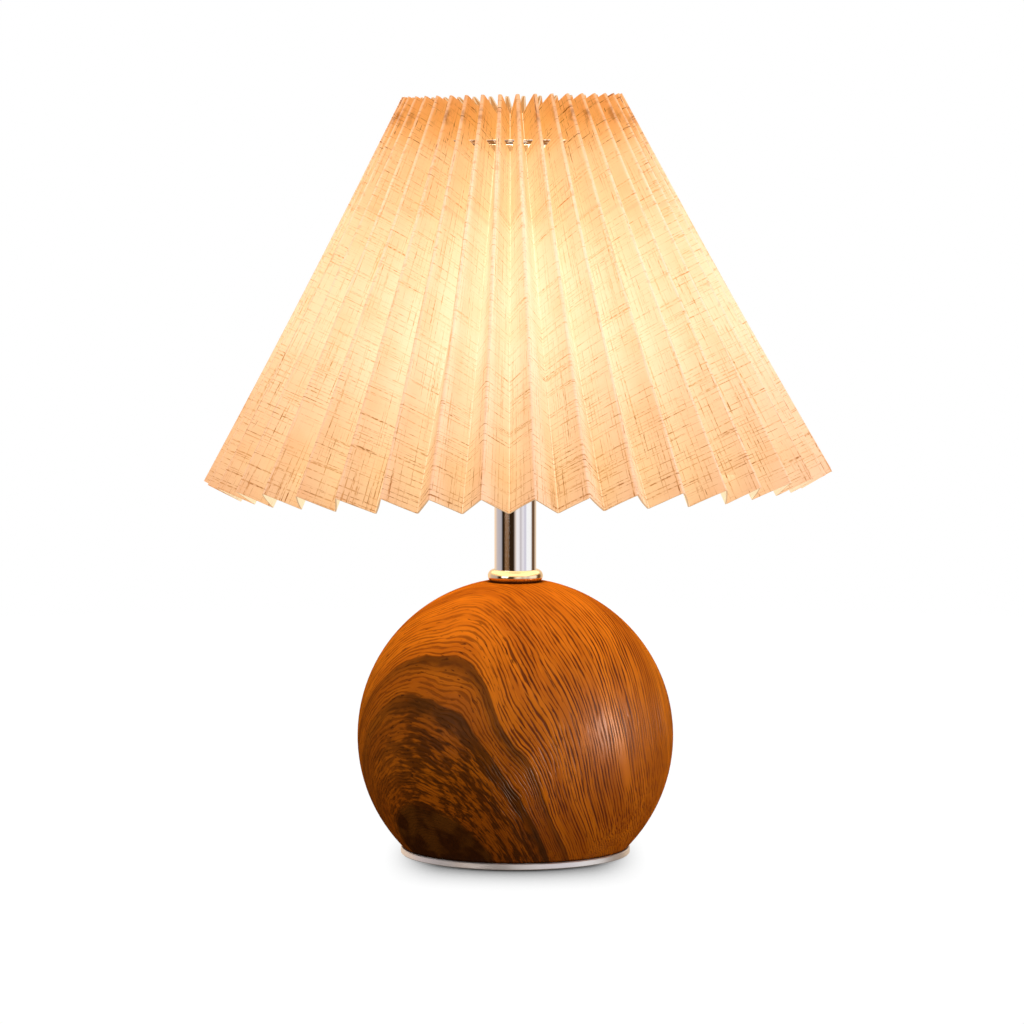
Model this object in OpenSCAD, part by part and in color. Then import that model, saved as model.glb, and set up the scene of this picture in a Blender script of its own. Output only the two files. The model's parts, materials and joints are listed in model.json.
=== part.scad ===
// Table lamp with a turned ball foot, a short stem and a pleated cone shade on a wire carrier

/* [Foot] */
// Thickness of the felt pad
pad_thickness = 1; // [0.5:0.5:3]
// How far the pad's edge is inside the foot's edge
pad_inset = 4; // [1:0.5:10]
// Diameter of the metal foot
foot_diameter = 110; // [100:1:125]
// Thickness of the metal foot
foot_thickness = 3; // [2:0.5:6]
// Bevel on the metal foot's two edges
foot_bevel = 0.4; // [0.2:0.1:1]
// Number of screws that hold the foot
foot_screw_count = 3; // [2:1:6]
// Shank diameter of the foot screws
foot_screw_diameter = 3.5; // [3:0.5:4]
// Length of the foot screws
foot_screw_length = 14; // [10:1:20]

/* [Ball] */
// Diameter of the turned ball
ball_diameter = 151.4; // [130:0.2:170]
// Diameter of the ball's flat on the foot
ball_seat_diameter = 107.5; // [90:0.5:115]
// Diameter of the ball's flat under the collar
ball_top_diameter = 30; // [24:1:40]
// Diameter of the weight in the ball
ballast_diameter = 83; // [60:1:86]
// Height of the weight in the ball
ballast_height = 38; // [30:1:45]
// Height of the free room for the cable under the weight
cable_space = 4; // [2:0.5:6]
// Diameter of the nut's pocket in the weight
nut_pocket_diameter = 26; // [24:1:32]
// Depth of the nut's pocket in the weight
nut_pocket_depth = 12; // [11:0.5:18]

/* [Cable inlet] */
// Bore of the bush that the cable goes through
cable_bore_diameter = 6.5; // [5:0.5:9]
// Wall of the bush
grommet_wall = 1.75; // [1:0.25:3]
// How far the bush's flange reaches past its wall
grommet_flange_reach = 2; // [1:0.5:4]
// Thickness of the bush's flange
grommet_flange_thickness = 2; // [1:0.5:4]
// Length of the bush in the wood
grommet_length = 16; // [8:1:20]
// How far the inlet points down
inlet_drop_angle = 30; // [20:1:35]

/* [Stem] */
// Diameter of the hollow threaded rod
rod_diameter = 10; // [8:0.5:12]
// Bore of the hollow threaded rod
rod_bore_diameter = 7; // [5:0.5:8]
// Width of the rod's nut across its flats
nut_width = 17; // [15:1:19]
// Height of the rod's nut
nut_height = 8; // [5:0.5:8]
// Diameter of the washer over the nut
washer_diameter = 22; // [20:1:24]
// Thickness of the washer over the nut
washer_thickness = 1.6; // [1:0.2:2]
// Diameter of the stem's tube
stem_diameter = 20; // [16:0.5:26]
// Wall of the stem's tube
stem_wall = 1.5; // [1:0.25:2.5]
// Height of the tube's top over the ball
stem_height = 46; // [30:0.5:80]
// Diameter of the bead collar
collar_diameter = 26.4; // [24:0.2:34]
// Radius of the collar's bead
collar_bead_radius = 3.1; // [2:0.1:3.6]
// Thickness of the collar's floor under the tube
collar_floor = 1.7; // [1:0.1:2.5]
// Thickness of the bush on the tube's top
stem_cap_thickness = 2; // [1:0.5:4]
// Depth of the bush in the tube
stem_cap_depth = 6; // [3:0.5:12]

/* [Lampholder] */
// Diameter of the lampholder's dome
holder_diameter = 39; // [38:0.5:41]
// Diameter of the dome's neck
holder_neck_diameter = 16; // [14:0.5:20]
// Height of the dome's neck
holder_neck_height = 8; // [6:0.5:12]
// Height of the dome over its neck
holder_dome_height = 14; // [12:0.5:18]
// Thickness of the dome's wall
holder_wall = 2.2; // [1.6:0.2:3]
// Diameter of the grub screw in the dome's neck
grub_screw_diameter = 3; // [2:0.5:4]
// Diameter of the lampholder's insulating core
insert_diameter = 34; // [32:0.5:34]
// Thickness of the lampholder's insulating core
insert_thickness = 8; // [6:0.5:10]
// Depth of the core's seat in the dome
insert_seat_depth = 4; // [3:0.5:5]
// Height of the skirt over the dome
skirt_height = 36; // [30:1:50]
// Diameter of the skirt's thread
skirt_thread_diameter = 39.8; // [39:0.2:41]
// Depth of the skirt's thread
skirt_thread_depth = 0.5; // [0.3:0.1:0.8]
// Pitch of the skirt's thread
skirt_thread_pitch = 3.2; // [2:0.2:4]
// Height of the lampholder's inner screw shell
screw_shell_height = 24; // [20:1:28]
// Wall of the lampholder's inner screw shell
screw_shell_wall = 0.6; // [0.4:0.1:1]
// Height of the centre contact over the core
contact_height = 2; // [1:0.5:4]
// Radius of the centre contact's seat
contact_seat_radius = 5; // [4:0.5:7]
// Distance of the terminal screws from the axis
terminal_offset = 9; // [7:0.5:10]
// Diameter of the terminal screws
terminal_screw_diameter = 3; // [2:0.5:4]

/* [Carrier] */
// Height of the carrier's hub over the dome's rim
hub_height = 14; // [12:0.5:22]
// Outer diameter of the shade rings
shade_ring_diameter = 52; // [48:1:56]
// Thickness of the shade rings
shade_ring_thickness = 5; // [3:0.5:6]
// Number of grip notches in a shade ring
shade_ring_notches = 12; // [6:1:24]
// Radius of the grip notches
notch_radius = 1.6; // [1:0.2:3]
// Outer diameter of the carrier's hub
hub_diameter = 62; // [58:1:70]
// Thickness of the carrier's hub
hub_thickness = 2; // [1:0.5:4]
// Number of wire legs
leg_count = 3; // [3:1:4]
// Diameter of the wire of the legs
leg_wire_diameter = 2; // [1.6:0.2:3]
// Radius where the legs bend up
leg_bend_radius = 36; // [34:0.5:40]
// Diameter of the wire of the ring
ring_wire_diameter = 2.1; // [1.6:0.1:2.6]

/* [Shade] */
// Height of the shade's top over the floor
shade_top_height = 363; // [340:0.5:400]
// Diameter over the ridge folds at the top
shade_top_diameter = 103.8; // [96:0.2:130]
// Diameter over the ridge folds at the bottom
shade_bottom_diameter = 299; // [270:1:320]
// Length of a fold
fold_length = 204.9; // [190:0.1:220]
// Number of pleats
pleat_count = 40; // [36:4:44]
// Width of a panel between two folds
pleat_width = 18.85; // [17.5:0.05:20]
// Thickness of the laminated sheet
sheet_thickness = 0.7; // [0.5:0.1:1]
// Width of the blunt edge of a fold
fold_flat = 1.2; // [1:0.1:1.6]
// Height of the punched slots, along the fold
hole_height = 6.4; // [5:0.1:7.5]
// Width of the punched slots across the fold, on the flat sheet
hole_width = 22; // [14:0.5:26]
// Distance of a punched slot's top from its fold's top
hole_from_top = 13.9; // [10:0.1:22]
// How far a ridge fold is turned from the front
pleat_turn = 2.8; // [0:0.1:4.5]

/* [Bulb] */
// Diameter of the bulb's screw cap
bulb_cap_diameter = 26.4; // [26:0.1:26.6]
// Height of the bulb's screw cap
bulb_cap_height = 19; // [17:0.5:22]
// Height of the bulb's insulator
bulb_insulator_height = 5; // [4:0.5:7]
// Radius of the bulb's contact
bulb_contact_radius = 4.6; // [4:0.1:6]
// Thickness of the bulb's contact
bulb_contact_thickness = 1.5; // [1:0.1:2]
// Length of the whole bulb
bulb_length = 105; // [100:1:110]
// Diameter of the bulb's globe
globe_diameter = 60; // [55:1:62]
// Thickness of the bulb's glass
glass_thickness = 0.8; // [0.5:0.1:1.2]
// Depth of the glass neck in the cap
neck_depth = 10; // [6:0.5:12]
// Length of a filament
filament_length = 36; // [28:1:38]
// Distance of the filaments from the axis
filament_offset = 9; // [7:0.5:12]
// Radius of a filament
filament_radius = 0.9; // [0.6:0.1:1.2]

/* [Fits] */
// Gap between fixed pieces that fit in each other
fit_gap = 0.05; // [0.02:0.01:0.1]
// Gap around the rod and the fasteners
fastener_gap = 0.2; // [0.1:0.05:0.4]
// Gap around the weight
ballast_gap = 0.5; // [0.3:0.1:1]
// Gap between pieces that move on each other
moving_gap = 0.3; // [0.3:0.05:0.5]
// Gap between flat faces that turn on each other
face_gap = 0.1; // [0.05:0.05:0.2]

/* [Hidden] */
$fn = 72;

// Cutters reach this far past the faces they cut
cut_margin = 1;

// Heights of the foot and the ball
foot_bottom = pad_thickness;
ball_bottom = foot_bottom + foot_thickness;
ball_radius = ball_diameter / 2;
seat_radius = ball_seat_diameter / 2;
ball_centre = ball_bottom + sqrt(pow(ball_radius, 2) - pow(seat_radius, 2));
ball_top = ball_centre + sqrt(pow(ball_radius, 2) - pow(ball_top_diameter / 2, 2));

// The weight and its recess
ballast_radius = ballast_diameter / 2;
ballast_bottom = ball_bottom + cable_space;
ballast_top = ballast_bottom + ballast_height;
recess_radius = ballast_radius + ballast_gap;
washer_top = ballast_bottom + nut_pocket_depth;
nut_top = washer_top - washer_thickness;
rod_tail = 2;
rod_bottom = nut_top - nut_height - rod_tail;
rod_radius = rod_diameter / 2;
rod_hole_radius = rod_radius + fastener_gap;

// The foot screws stand in the middle of the ball's rim
foot_screw_radius = foot_screw_diameter / 2;
foot_screw_circle = (recess_radius + seat_radius) / 2;
foot_screw_head_radius = 2 * foot_screw_radius;
foot_screw_head_height = foot_screw_radius;
foot_screw_tip = 2 * foot_screw_radius;
screw_hole_depth = foot_screw_length - foot_thickness + cut_margin;
foot_screw_turn = -90;
screw_slot_share = 0.5;
screw_slot_width = 0.8;

// The cable's inlet points from the ball's centre to the rear
grommet_radius = cable_bore_diameter / 2 + grommet_wall;
grommet_flange_radius = grommet_radius + grommet_flange_reach;
inlet_seat = sqrt(pow(ball_radius, 2) - pow(grommet_flange_radius + fastener_gap, 2));
inlet_groove_width = 2 * grommet_radius + 1;
inlet_groove_depth = 12;
inlet_wall_drop = recess_radius * tan(inlet_drop_angle);
inlet_groove_top = ball_centre - inlet_wall_drop + grommet_radius / cos(inlet_drop_angle) + cut_margin;

// The stem
stem_radius = stem_diameter / 2;
stem_inner_radius = stem_radius - stem_wall;
collar_radius = collar_diameter / 2;
collar_ring_radius = collar_radius - collar_bead_radius;
bead_sink = 0.25;
bead_centre = ball_top + collar_bead_radius - bead_sink;
collar_core_top = bead_centre + 0.85 * collar_bead_radius;
tube_bottom = ball_top + collar_floor;
tube_top = ball_top + stem_height;

// The lampholder
holder_bottom = tube_top + stem_cap_thickness;
dome_bottom = holder_bottom + holder_neck_height;
dome_rim = dome_bottom + holder_dome_height;
holder_radius = holder_diameter / 2;
holder_neck_radius = holder_neck_diameter / 2;
rod_top = dome_bottom + holder_wall - fastener_gap;
rim_band = 2;
insert_radius = insert_diameter / 2;
insert_seat = dome_rim - insert_seat_depth;
insert_ledge = 1.5;
insert_top = insert_seat + insert_thickness;
inner_dome_radius = insert_radius - insert_ledge;
inner_neck_radius = holder_neck_radius - insert_ledge;
dome_steps = 8;
grub_height = holder_bottom + holder_neck_height / 2;
grub_radius = grub_screw_diameter / 2;
wire_hole_radius = 2;
terminal_radius = terminal_screw_diameter / 2;
terminal_head_radius = 1.8 * terminal_radius;
terminal_head_height = 2.2;
terminal_depth = 0.75 * insert_thickness;

// The skirt and the screw shell
bulb_cap_radius = bulb_cap_diameter / 2;
screw_shell_inner = bulb_cap_radius + moving_gap;
screw_shell_outer = screw_shell_inner + screw_shell_wall;
skirt_inner = screw_shell_outer + fit_gap;
skirt_top = dome_rim + skirt_height;
skirt_radius = skirt_thread_diameter / 2;
skirt_rim = 4;
thread_bottom = dome_rim + skirt_rim + 1;
thread_turns = floor((skirt_top - 2 - thread_bottom) / skirt_thread_pitch);
contact_button_radius = 0.6 * contact_seat_radius;

// The carrier's hub lies between the shade rings
hub_bottom = dome_rim + hub_height;
hub_top = hub_bottom + hub_thickness;
hub_inner = skirt_radius + 3 * moving_gap;
shade_ring_inner = skirt_radius + fit_gap;
shade_ring_outer = shade_ring_diameter / 2;

// The shade's folds, measured down from their tops
shade_top_radius = shade_top_diameter / 2;
shade_bottom_radius = shade_bottom_diameter / 2;
fold_lean = asin((shade_bottom_radius - shade_top_radius) / fold_length);
lean_cos = cos(fold_lean);
lean_sin = sin(fold_lean);
half_pitch = 180 / pleat_count;
half_sin = sin(half_pitch);
half_flat = fold_flat / 2;
half_sheet = sheet_thickness / 2;
first_ridge = -90 + pleat_turn;
hole_reach = hole_width / 2 - half_flat;
hole_tip = 0.9;

function ridge_radius(s) = shade_top_radius + s * lean_sin;
function ridge_height(s) = shade_top_height - s * lean_cos;
function pleat_depth(s) =
    let (
        a = 1 + pow(half_sin * lean_cos, 2),
        b = pow(half_sin, 2) * ridge_radius(s) * lean_cos,
        c = pow(half_sin * ridge_radius(s), 2) - pow(pleat_width, 2)
    )
    (b + sqrt(b * b - a * c)) / a;
function valley_radius(s) = ridge_radius(s) - pleat_depth(s) * lean_cos;
function valley_height(s) = ridge_height(s) - pleat_depth(s) * lean_sin;
function fold_spread(s) =
    half_sheet * tan((90 - asin(valley_radius(s) * half_sin / pleat_width)) / 2);
// A slot's upper edge runs level on the folded sheet, and its lower edge curves up to the slot's tip
function hole_share(part) = part < hole_tip ? part / hole_tip : sqrt((1 - part) / (1 - hole_tip));
function hole_cut(s) =
    let (part = (s - hole_from_top) / hole_height)
    part > 0 && part < 1 ? hole_reach * hole_share(part) / pleat_width : 0;

// Levels down the sheet: its top, seven across the punched slot, and the rest of its length
hole_parts = [0, 0.45, hole_tip, 0.94, 0.975, 0.993, 1];
hole_levels = [for (part = hole_parts) hole_from_top + part * hole_height];
hole_end = hole_from_top + hole_height;
plain_steps = 4;
plain_levels = [
    for (i = [1:plain_steps]) hole_end + (fold_length - hole_end) * i / plain_steps
];
levels = concat([0], hole_levels, plain_levels);
hole_first = 1;
hole_last = len(hole_levels);

// The ring passes through the punched slots, and the sheet hangs on it
ring_wire_radius = ring_wire_diameter / 2;
ring_fold_position = hole_from_top + ring_wire_radius + face_gap;
ring_inset = 0.4;
ring_radius = valley_radius(ring_fold_position) - ring_inset * lean_cos;
ring_height = valley_height(ring_fold_position) - ring_inset * lean_sin;
leg_wire_radius = leg_wire_diameter / 2;
leg_start_radius = shade_ring_outer + leg_wire_radius;
leg_start_height = hub_top + leg_wire_radius + fit_gap;
leg_top_radius = ring_radius - ring_wire_radius - leg_wire_radius - fit_gap;
leg_top_height = ring_height + leg_wire_radius;
leg_turn = 0;

// The bulb stands on the centre contact
bulb_bottom = insert_top + contact_height + face_gap;
bulb_contact_top = bulb_bottom + bulb_contact_thickness;
bulb_cap_bottom = bulb_contact_top + bulb_insulator_height;
bulb_cap_top = bulb_cap_bottom + bulb_cap_height;
bulb_cap_wall = 0.5;
bulb_cap_inner = bulb_cap_radius - bulb_cap_wall;
bulb_thread_depth = 0.35;
bulb_thread_pitch = 3.629;
bulb_thread_count = floor((bulb_cap_height - 4) / bulb_thread_pitch);
insulator_plug = 2;
neck_radius = bulb_cap_inner - fit_gap;
neck_bottom = bulb_cap_top - neck_depth;
globe_radius = globe_diameter / 2;
globe_centre = bulb_bottom + bulb_length - globe_radius;
globe_start = -52;
globe_steps = 36;
globe_turns = [for (i = [0:globe_steps - 1]) globe_start + (90 - globe_start) * i / globe_steps];
flare_thickness = 1.5;
flare_radius = neck_radius - glass_thickness - fit_gap;
flare_height = 8;
stem_rod_radius = 2.2;
stem_rod_top = globe_centre - filament_length / 2 - 4;
filament_count = 4;
filament_bottom = globe_centre - filament_length / 2;
filament_top = globe_centre + filament_length / 2;
support_radius = 0.5;

// Shapes that several pieces share
module turned(outline) rotate_extrude() polygon(outline);

module sleeve(outer, inner, bottom, height) {
    translate([0, 0, bottom]) difference() {
        cylinder(r = outer, h = height);
        translate([0, 0, -cut_margin]) cylinder(r = inner, h = height + 2 * cut_margin);
    }
}

module around(count, turn, radius) {
    for (i = [0:count - 1]) rotate([0, 0, turn + 360 * i / count]) translate([radius, 0, 0]) children();
}

module along_inlet() translate([0, 0, ball_centre]) rotate([-90 - inlet_drop_angle, 0, 0]) children();

module wire(start, finish, radius) {
    reach = norm(finish - start);
    lean = acos((finish[1] - start[1]) / reach);
    translate([start[0], 0, start[1]]) rotate([0, lean, 0]) cylinder(r = radius, h = reach);
}

// The foot
module foot_pad() color("dimgray") cylinder(r = foot_diameter / 2 - pad_inset, h = pad_thickness);

module foot_plate() {
    radius = foot_diameter / 2;
    color("silver") difference() {
        turned([
            [0, foot_bottom],
            [radius - foot_bevel, foot_bottom],
            [radius, foot_bottom + foot_bevel],
            [radius, ball_bottom - foot_bevel],
            [radius - foot_bevel, ball_bottom],
            [0, ball_bottom]
        ]);
        around(foot_screw_count, foot_screw_turn, foot_screw_circle) {
            translate([0, 0, foot_bottom - cut_margin])
                cylinder(r = foot_screw_radius + fastener_gap, h = foot_thickness + 2 * cut_margin);
            translate([0, 0, foot_bottom - fit_gap]) cylinder(
                r1 = foot_screw_head_radius + 2 * fit_gap,
                r2 = foot_screw_radius + 2 * fit_gap,
                h = foot_screw_head_height + fit_gap
            );
        }
    }
}

module foot_screws() {
    shank_end = foot_bottom + foot_screw_length - foot_screw_tip;
    slot_depth = screw_slot_share * foot_screw_head_height;
    color("gainsboro") around(foot_screw_count, foot_screw_turn, foot_screw_circle) difference() {
        union() {
            translate([0, 0, foot_bottom]) cylinder(
                r1 = foot_screw_head_radius, r2 = foot_screw_radius, h = foot_screw_head_height
            );
            translate([0, 0, foot_bottom + foot_screw_head_height])
                cylinder(r = foot_screw_radius, h = shank_end - foot_bottom - foot_screw_head_height);
            translate([0, 0, shank_end])
                cylinder(r1 = foot_screw_radius, r2 = foot_screw_radius / 4, h = foot_screw_tip);
        }
        translate([-foot_diameter / 2, -screw_slot_width / 2, foot_bottom - cut_margin])
            cube([foot_diameter, screw_slot_width, slot_depth + cut_margin]);
    }
}

// The ball and what it holds
module base_ball() {
    color("peru") difference() {
        intersection() {
            translate([0, 0, ball_centre]) sphere(r = ball_radius);
            translate([0, 0, ball_bottom]) cylinder(r = ball_radius + cut_margin, h = ball_top - ball_bottom);
        }
        translate([0, 0, ball_bottom - cut_margin])
            cylinder(r = recess_radius, h = ballast_top - ball_bottom + cut_margin);
        translate([0, 0, ball_bottom]) cylinder(r = rod_hole_radius, h = ball_top);
        along_inlet() {
            translate([0, 0, inlet_seat]) cylinder(r = grommet_flange_radius + fastener_gap, h = ball_radius);
            translate([0, 0, recess_radius]) cylinder(r = grommet_radius + fit_gap, h = ball_radius);
        }
        around(foot_screw_count, foot_screw_turn, foot_screw_circle)
            translate([0, 0, ball_bottom - cut_margin])
            cylinder(r = foot_screw_radius + fit_gap, h = screw_hole_depth + cut_margin);
    }
}

module ballast_weight() {
    color("dimgray") difference() {
        translate([0, 0, ballast_bottom]) cylinder(r = ballast_radius, h = ballast_height);
        translate([0, 0, ballast_bottom - cut_margin])
            cylinder(r = nut_pocket_diameter / 2, h = nut_pocket_depth + cut_margin);
        translate([0, 0, ballast_bottom]) cylinder(r = rod_hole_radius, h = 2 * ballast_height);
        translate([-inlet_groove_width / 2, ballast_radius - inlet_groove_depth, ball_bottom])
            cube([inlet_groove_width, 2 * inlet_groove_depth, inlet_groove_top - ball_bottom]);
    }
}

module cable_grommet() {
    color("black") along_inlet() difference() {
        union() {
            translate([0, 0, inlet_seat]) cylinder(r = grommet_flange_radius, h = grommet_flange_thickness);
            translate([0, 0, inlet_seat - grommet_length]) cylinder(r = grommet_radius, h = grommet_length);
        }
        translate([0, 0, inlet_seat - grommet_length - cut_margin]) cylinder(
            r = cable_bore_diameter / 2,
            h = grommet_length + grommet_flange_thickness + 2 * cut_margin
        );
    }
}

module bottom_nut() {
    color("silver") translate([0, 0, nut_top - nut_height]) difference() {
        cylinder(r = nut_width / 2 / cos(30), h = nut_height, $fn = 6);
        translate([0, 0, -cut_margin]) cylinder(r = rod_radius + fit_gap, h = nut_height + 2 * cut_margin);
    }
}

module bottom_washer()
    color("gainsboro") sleeve(washer_diameter / 2, rod_hole_radius, nut_top, washer_thickness);

module threaded_rod()
    color("darkgray") sleeve(rod_radius, rod_bore_diameter / 2, rod_bottom, rod_top - rod_bottom);

// The stem
module neck_collar() {
    color("gold") difference() {
        intersection() {
            union() {
                translate([0, 0, bead_centre]) rotate_extrude()
                    translate([collar_ring_radius, 0]) circle(r = collar_bead_radius);
                translate([0, 0, ball_top]) cylinder(r = collar_ring_radius, h = collar_core_top - ball_top);
            }
            translate([0, 0, ball_top]) cylinder(r = 2 * collar_radius, h = 4 * collar_bead_radius);
        }
        translate([0, 0, tube_bottom]) cylinder(r = stem_radius + fit_gap, h = 4 * collar_bead_radius);
        translate([0, 0, ball_top - cut_margin]) cylinder(r = rod_hole_radius, h = stem_height);
    }
}

module stem_tube()
    color("lightgray") sleeve(stem_radius, stem_inner_radius, tube_bottom, tube_top - tube_bottom);

module stem_cap() {
    color("gray") difference() {
        union() {
            translate([0, 0, tube_top]) cylinder(r = stem_radius, h = stem_cap_thickness);
            translate([0, 0, tube_top - stem_cap_depth])
                cylinder(r = stem_inner_radius - fit_gap, h = stem_cap_depth);
        }
        translate([0, 0, tube_top - 2 * stem_cap_depth])
            cylinder(r = rod_hole_radius, h = 4 * stem_cap_depth);
    }
}

// The lampholder
module holder_cap() {
    outer_height = holder_dome_height - rim_band;
    inner_bottom = dome_bottom + holder_wall;
    inner_height = insert_seat - inner_bottom;
    outer_arc = [
        for (i = [0:dome_steps]) let (turn = 90 * i / dome_steps) [
            holder_neck_radius + (holder_radius - holder_neck_radius) * sin(turn),
            dome_bottom + outer_height * (1 - cos(turn))
        ]
    ];
    inner_arc = [
        for (i = [dome_steps:-1:0]) let (turn = 90 * i / dome_steps) [
            inner_neck_radius + (inner_dome_radius - inner_neck_radius) * sin(turn),
            inner_bottom + inner_height * (1 - cos(turn))
        ]
    ];
    color("ivory") difference() {
        turned(concat(
            [[rod_radius + fit_gap, holder_bottom], [holder_neck_radius, holder_bottom]],
            outer_arc,
            [
                [holder_radius, dome_rim],
                [insert_radius + fit_gap, dome_rim],
                [insert_radius + fit_gap, insert_seat]
            ],
            inner_arc,
            [[rod_radius + fit_gap, inner_bottom]]
        ));
        translate([0, 0, grub_height]) rotate([-90, 0, 0])
            cylinder(r = grub_radius + fit_gap, h = 2 * holder_neck_radius);
    }
}

module holder_grub_screw() {
    slot_depth = screw_slot_share * grub_screw_diameter;
    start = rod_radius + fit_gap;
    color("silver") translate([0, 0, grub_height]) rotate([-90, 0, 0]) difference() {
        translate([0, 0, start]) cylinder(r = grub_radius, h = holder_neck_radius - start);
        translate([-grub_screw_diameter, -screw_slot_width / 2, holder_neck_radius - slot_depth])
            cube([2 * grub_screw_diameter, screw_slot_width, 2 * slot_depth]);
    }
}

module holder_insert() {
    color("white") difference() {
        translate([0, 0, insert_seat]) cylinder(r = insert_radius, h = insert_thickness);
        around(2, 0, terminal_offset) translate([0, 0, insert_seat - cut_margin])
            cylinder(r = terminal_radius + fit_gap, h = terminal_depth + 2 * cut_margin);
        around(2, 90, terminal_offset) translate([0, 0, insert_seat - cut_margin])
            cylinder(r = wire_hole_radius, h = insert_thickness + 2 * cut_margin);
    }
}

module terminal_screws() {
    color("silver") around(2, 0, terminal_offset) difference() {
        union() {
            translate([0, 0, insert_seat - terminal_head_height])
                cylinder(r = terminal_head_radius, h = terminal_head_height);
            translate([0, 0, insert_seat]) cylinder(r = terminal_radius, h = terminal_depth);
        }
        translate([-holder_radius, -screw_slot_width / 2, insert_seat - terminal_head_height - cut_margin])
            cube([holder_diameter, screw_slot_width, screw_slot_share * terminal_head_height + cut_margin]);
    }
}

module centre_contact() {
    color("goldenrod") translate([0, 0, insert_top]) {
        cylinder(r = contact_seat_radius, h = contact_height / 2);
        cylinder(r = contact_button_radius, h = contact_height);
    }
}

module screw_shell()
    color("goldenrod") sleeve(screw_shell_outer, screw_shell_inner, insert_top, screw_shell_height);

module holder_shell() {
    thread = [
        for (i = [0:thread_turns - 1]) for (corner = [[0, 0], [0.5, 0], [0.6, 1], [0.9, 1]])
            [
                skirt_radius - corner[1] * skirt_thread_depth,
                thread_bottom + (i + corner[0]) * skirt_thread_pitch
            ]
    ];
    color("ivory") turned(concat(
        [
            [insert_radius + fit_gap, dome_rim],
            [holder_radius, dome_rim],
            [holder_radius, dome_rim + skirt_rim]
        ],
        thread,
        [
            [skirt_radius, thread_bottom + thread_turns * skirt_thread_pitch],
            [skirt_radius, skirt_top],
            [skirt_inner, skirt_top],
            [skirt_inner, insert_top + fit_gap],
            [insert_radius + fit_gap, insert_top + fit_gap]
        ]
    ));
}

// The shade's carrier
module shade_ring(bottom) {
    difference() {
        sleeve(shade_ring_outer, shade_ring_inner, bottom, shade_ring_thickness);
        around(shade_ring_notches, 0, shade_ring_outer) translate([0, 0, bottom - cut_margin])
            cylinder(r = notch_radius, h = shade_ring_thickness + 2 * cut_margin);
    }
}

module lower_shade_ring() color("white") shade_ring(hub_bottom - face_gap - shade_ring_thickness);

module upper_shade_ring() color("white") shade_ring(hub_top + face_gap);

module carrier_hub() color("silver") sleeve(hub_diameter / 2, hub_inner, hub_bottom, hub_thickness);

module carrier_legs() {
    start = [leg_start_radius, leg_start_height];
    bend = [leg_bend_radius, leg_start_height];
    top = [leg_top_radius, leg_top_height];
    color("silver") around(leg_count, leg_turn, 0) {
        wire(start, bend, leg_wire_radius);
        translate([bend[0], 0, bend[1]]) sphere(r = leg_wire_radius + fit_gap);
        wire(bend, top, leg_wire_radius);
    }
}

module carrier_ring() {
    color("silver") translate([0, 0, ring_height]) rotate_extrude()
        translate([ring_radius, 0]) circle(r = ring_wire_radius);
}

// The pleated sheet: eight points for each pleat on each level, the first four on the ridge fold
function on_fold(radius, height, turn, outward, aside) =
    let (reach = radius + outward * lean_cos) [
        reach * cos(turn) - aside * sin(turn),
        reach * sin(turn) + aside * cos(turn),
        height + outward * lean_sin
    ];

function pleat_points(s, ridge, cut) =
    let (
        spread = fold_spread(s),
        wide = half_flat + spread,
        narrow = half_flat - spread,
        valley = ridge + half_pitch,
        next = valley + half_pitch,
        r = ridge_radius(s),
        rz = ridge_height(s),
        v = valley_radius(s),
        vz = valley_height(s),
        outer_here = on_fold(r, rz, ridge, half_sheet, wide),
        inner_here = on_fold(r, rz, ridge, -half_sheet, narrow),
        outer_next = on_fold(r, rz, next, half_sheet, -wide),
        inner_next = on_fold(r, rz, next, -half_sheet, -narrow)
    ) [
        on_fold(r, rz, ridge, half_sheet, -wide),
        outer_here,
        on_fold(r, rz, ridge, -half_sheet, -narrow),
        inner_here,
        (1 - cut) * on_fold(v, vz, valley, half_sheet, -narrow) + cut * outer_here,
        (1 - cut) * on_fold(v, vz, valley, half_sheet, narrow) + cut * outer_next,
        (1 - cut) * on_fold(v, vz, valley, -half_sheet, -wide) + cut * inner_here,
        (1 - cut) * on_fold(v, vz, valley, -half_sheet, wide) + cut * inner_next
    ];

function index(level, pleat, point) = (level * pleat_count + pleat % pleat_count) * 8 + point;

// Strips of one pleat, from a point to a point that is on this pleat or the next one
outer_strips = [[0, 0, 1], [1, 0, 4], [5, 1, 0]];
inner_strips = [[2, 0, 3], [3, 0, 6], [7, 1, 2]];
// Strips of the two rims: outer and inner point, step to the next pleat, inner and outer point
rim_strips = [[0, 2, 0, 3, 1], [1, 3, 0, 6, 4], [4, 6, 0, 7, 5], [5, 7, 1, 2, 0]];

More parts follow.
